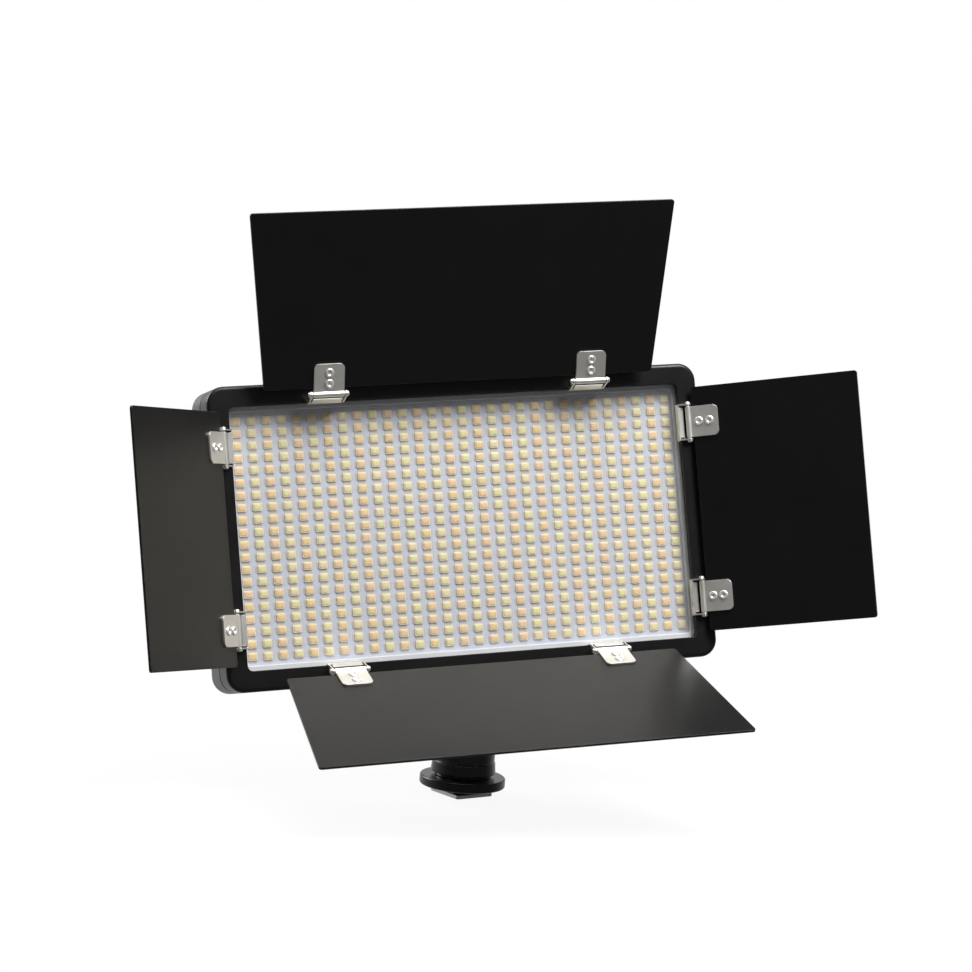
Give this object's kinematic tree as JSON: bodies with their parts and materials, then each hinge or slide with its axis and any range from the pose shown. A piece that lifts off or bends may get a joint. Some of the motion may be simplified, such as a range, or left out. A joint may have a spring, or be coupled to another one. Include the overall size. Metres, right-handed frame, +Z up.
{
  "type": "led panel light",
  "caption": "Flat rectangular LED panel light with four folding barn doors, rear battery plates and controls, on a ball head with a shoe foot.",
  "frame": {"origin": "centre of the shoe foot's underside, on the axis of its threaded hole", "axes": "+Z up along the ball head, the light faces -Y leaned back by 13 degrees, +X to the right seen from the front"},
  "size_m": [0.3166, 0.1343, 0.2495],
  "materials": {
    "bezel_black": "satin black moulded plastic",
    "case_black": "fine-textured black moulded plastic",
    "band_black": "matt black recessed band",
    "window_clear": "clear polished acrylic",
    "board_white": "white solder mask",
    "led_warm": "orange-tinted LED phosphor",
    "led_cool": "pale yellow LED phosphor",
    "door_black": "fine matt black powder coat",
    "hinge_steel": "bright nickel plate",
    "raw_aluminium": "bare aluminium",
    "black_aluminium": "black anodised aluminium",
    "steel": "zinc-plated steel",
    "black_steel": "black oxide steel",
    "brass": "turned brass",
    "contact_gold": "gold-plated contact",
    "nylon_white": "natural nylon",
    "rubber_black": "moulded rubber",
    "knob_black": "ribbed black plastic",
    "board_green": "green solder mask",
    "component_grey": "moulded component bodies",
    "display_dark": "smoked display window"
  },
  "bodies": {
    "shoe_base": {"shoe_foot": "steel", "foot_block": "black_aluminium", "ball_housing": "black_aluminium", "housing_collar": "black_aluminium"},
    "lock_wheel": {"lock_wheel": "black_aluminium"},
    "clamp_knob": {"clamp_screw": "steel", "clamp_knob": "knob_black"},
    "ball_cup": {"ball_cup": "nylon_white"},
    "ball": {"ball_and_stem": "black_aluminium", "mounting_screw": "steel"},
    "thumb_disc": {"thumb_disc": "black_aluminium", "rubber_pad": "rubber_black"},
    "light_head": {"front_bezel": "bezel_black", "middle_frame": "band_black", "rear_cover": "case_black", "window_plate": "window_clear", "led_board": "board_white", "warm_led_columns": "led_warm", "cool_led_columns": "led_cool", "heat_spreader": "raw_aluminium", "board_screws": "steel", "driver_board": "board_green", "driver_parts": "component_grey", "driver_screws": "steel", "rear_cover_screws": "black_steel", "tripod_insert": "brass", "long_hinge_brackets": "hinge_steel", "short_hinge_brackets": "hinge_steel", "hinge_pins": "hinge_steel", "battery_plate_left": "case_black", "battery_plate_right": "case_black", "battery_contacts": "contact_gold", "control_bodies": "component_grey", "rocker_frame": "knob_black", "dc_jack": "knob_black", "display_window": "display_dark", "display_module": "component_grey"},
    "brightness_knob": {"brightness_knob": "knob_black", "brightness_shaft": "steel"},
    "color_knob": {"color_knob": "knob_black", "color_shaft": "steel"},
    "power_rocker": {"rocker_paddle": "knob_black"},
    "battery_latch_left": {"battery_latch_left": "knob_black"},
    "battery_latch_right": {"battery_latch_right": "knob_black"},
    "top_door": {"top_door": "door_black", "top_door_leaves": "hinge_steel", "top_door_rivets": "hinge_steel"},
    "bottom_door": {"bottom_door": "door_black", "bottom_door_leaves": "hinge_steel", "bottom_door_rivets": "hinge_steel"},
    "left_door": {"left_door": "door_black", "left_door_leaves": "hinge_steel", "left_door_rivets": "hinge_steel"},
    "right_door": {"right_door": "door_black", "right_door_leaves": "hinge_steel", "right_door_rivets": "hinge_steel"}
  },
  "joints": [
    {"name": "lock_wheel_spin", "type": "hinge", "parent": "shoe_base", "child": "lock_wheel", "pos_m": [0, 0, 0.0056], "axis": [0, 0, 1], "continuous": true},
    {"name": "clamp_knob_turn", "type": "hinge", "parent": "shoe_base", "child": "clamp_knob", "pos_m": [0, 0.02, 0.026], "axis": [0, 1, 0], "range_deg": [-180, 180]},
    {"name": "ball_pan", "type": "hinge", "parent": "shoe_base", "child": "ball_cup", "pos_m": [0, 0, 0.0329], "axis": [0, 0, 1], "continuous": true},
    {"name": "ball_tilt", "type": "hinge", "parent": "ball_cup", "child": "ball", "pos_m": [0, 0, 0.0329], "axis": [-0.9234, -0.3837, 0], "range_deg": [-48.9, 21.1]},
    {"name": "thumb_disc_spin", "type": "hinge", "parent": "ball", "child": "thumb_disc", "pos_m": [0, 0, 0.0329], "axis": [-0.0924, 0.2223, 0.9706], "continuous": true},
    {"name": "head_swivel", "type": "hinge", "parent": "ball", "child": "light_head", "pos_m": [0, 0, 0.0329], "axis": [-0.0924, 0.2223, 0.9706], "continuous": true},
    {"name": "top_door_hinge", "type": "hinge", "parent": "light_head", "child": "top_door", "pos_m": [-0.01054, 0.01007, 0.16713], "axis": [0.9957, 0.0206, 0.09], "range_deg": [-40.2, 159.8]},
    {"name": "bottom_door_hinge", "type": "hinge", "parent": "light_head", "child": "bottom_door", "pos_m": [-0.00025, -0.01469, 0.05901], "axis": [-0.9957, -0.0206, -0.09], "range_deg": [-37.4, 114.6]},
    {"name": "left_door_hinge", "type": "hinge", "parent": "light_head", "child": "left_door", "pos_m": [-0.10497, -0.00057, 0.1032], "axis": [-0.0924, 0.2223, 0.9706], "range_deg": [-48.3, 131.7]},
    {"name": "right_door_hinge", "type": "hinge", "parent": "light_head", "child": "right_door", "pos_m": [0.09418, 0.00355, 0.12121], "axis": [0.0924, -0.2223, -0.9706], "range_deg": [-36.6, 143.4]},
    {"name": "brightness_turn", "type": "hinge", "parent": "light_head", "child": "brightness_knob", "pos_m": [-0.01902, 0.0308, 0.10625], "axis": [0, 0.9748, -0.2233], "range_deg": [-140, 140]},
    {"name": "color_turn", "type": "hinge", "parent": "light_head", "child": "color_knob", "pos_m": [0.00786, 0.03136, 0.10868], "axis": [0, 0.9748, -0.2233], "range_deg": [-140, 140]},
    {"name": "power_rocker_tip", "type": "hinge", "parent": "light_head", "child": "power_rocker", "pos_m": [-0.0029, 0.02298, 0.0797], "axis": [0.9957, 0.0206, 0.09], "range_deg": [-14, 0]},
    {"name": "battery_latch_left_slide", "type": "slide", "parent": "light_head", "child": "battery_latch_left", "axis": [0.0924, -0.2223, -0.9706], "range_m": [0, 0.0024], "stiffness_N_per_m": 400},
    {"name": "battery_latch_right_slide", "type": "slide", "parent": "light_head", "child": "battery_latch_right", "axis": [0.0924, -0.2223, -0.9706], "range_m": [0, 0.0024], "stiffness_N_per_m": 400}
  ]
}
